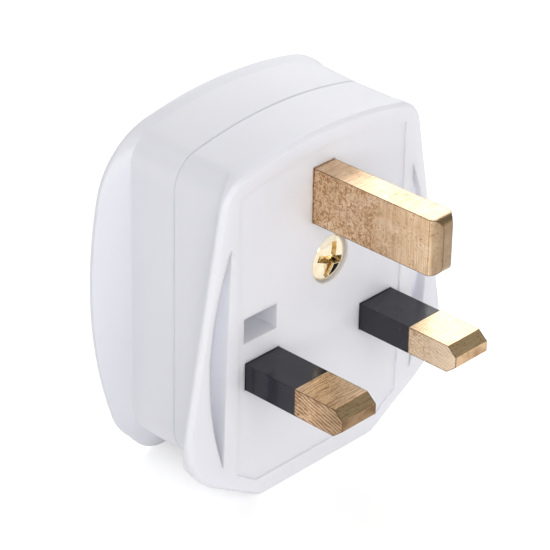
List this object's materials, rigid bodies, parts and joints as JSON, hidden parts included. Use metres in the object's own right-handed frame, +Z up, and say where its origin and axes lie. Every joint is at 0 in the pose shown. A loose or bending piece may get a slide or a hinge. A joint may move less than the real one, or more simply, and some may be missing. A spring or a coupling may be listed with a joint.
{
  "type": "electrical plug",
  "caption": "White rewirable fused mains plug with flat brass pins, sleeved line and neutral pins, flared finger-grip ears and a back flange.",
  "frame": {"origin": "on the pin face, midway between the line and neutral pins", "axes": "+X to the neutral pin's side, +Y backwards from the pin face (the pins point to -Y), +Z up to the earth pin"},
  "size_m": [0.0498, 0.0407, 0.0524],
  "materials": {
    "housing": "white satin moulding",
    "pin_brass": "dull, slightly tarnished",
    "sleeve": "black satin",
    "bright_brass": "bright turned",
    "plated_brass": "nickel plated",
    "ceramic": "unglazed ceramic",
    "steel": "zinc plated"
  },
  "bodies": {
    "root": {"base": "housing", "cover": "housing", "cover_back": "housing", "earth_pin": "pin_brass", "neutral_pin": "pin_brass", "line_pin": "pin_brass", "neutral_pin_sleeve": "sleeve", "line_pin_sleeve": "sleeve", "earth_terminal_screw": "bright_brass", "neutral_terminal_screw": "bright_brass", "line_terminal_screw": "bright_brass", "line_terminal": "pin_brass", "fuse_tube": "ceramic", "fuse_cap_lower": "plated_brass", "fuse_cap_upper": "plated_brass", "fuse_clip_pin_end": "pin_brass", "fuse_clip_terminal_end": "pin_brass", "cord_grip_bar": "housing", "cord_grip_screw_left": "steel", "cord_grip_screw_right": "steel", "cover_screw": "bright_brass", "cover_screw_washer": "steel", "cover_nut": "bright_brass"}
  },
  "joints": []
}
